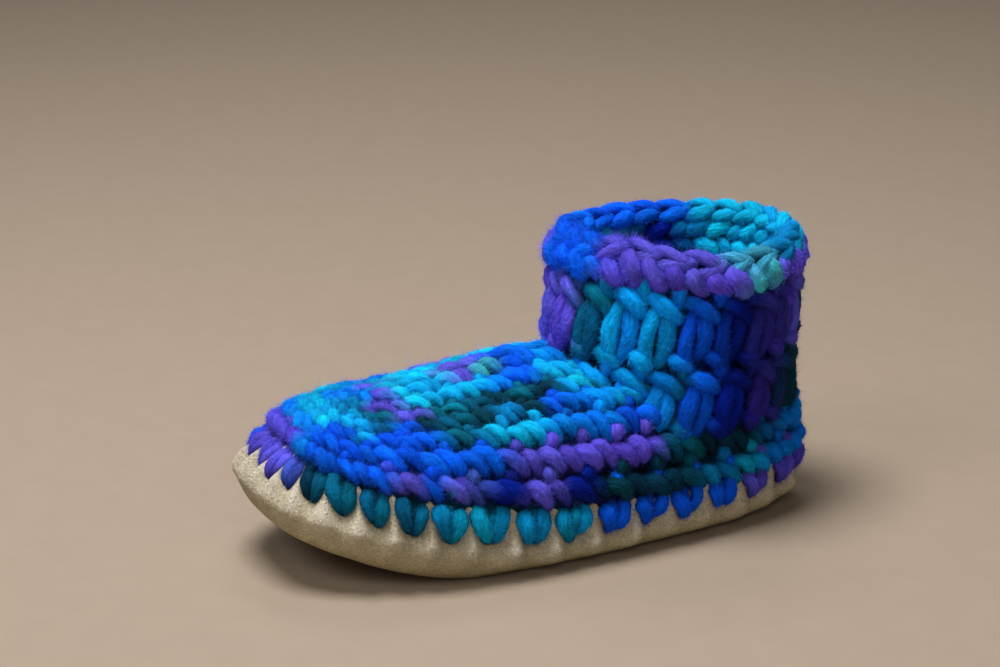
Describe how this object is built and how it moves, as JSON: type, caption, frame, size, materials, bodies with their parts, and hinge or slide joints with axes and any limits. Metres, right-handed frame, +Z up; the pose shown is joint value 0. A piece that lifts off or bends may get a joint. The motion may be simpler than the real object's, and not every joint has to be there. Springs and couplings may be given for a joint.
{
  "type": "crocheted slipper",
  "caption": "ankle-high slipper crocheted from chunky hand-dyed wool, laced by its first row of stitches to a cupped soft suede sole, open at a braided collar",
  "frame": {"origin": "on the floor under the middle of the slipper", "axes": "+Z up, +Y from the toe to the heel, +X to the side that faces the camera"},
  "size_m": [0.1192, 0.2542, 0.1273],
  "materials": {
    "suede": "napped cream suede",
    "fleece": "matt cream fleece",
    "wool": "matt felted yarn in blues, teal and violet"
  },
  "bodies": {
    "root": {"sole": "suede", "insole": "fleece", "upper": "wool"}
  },
  "joints": []
}
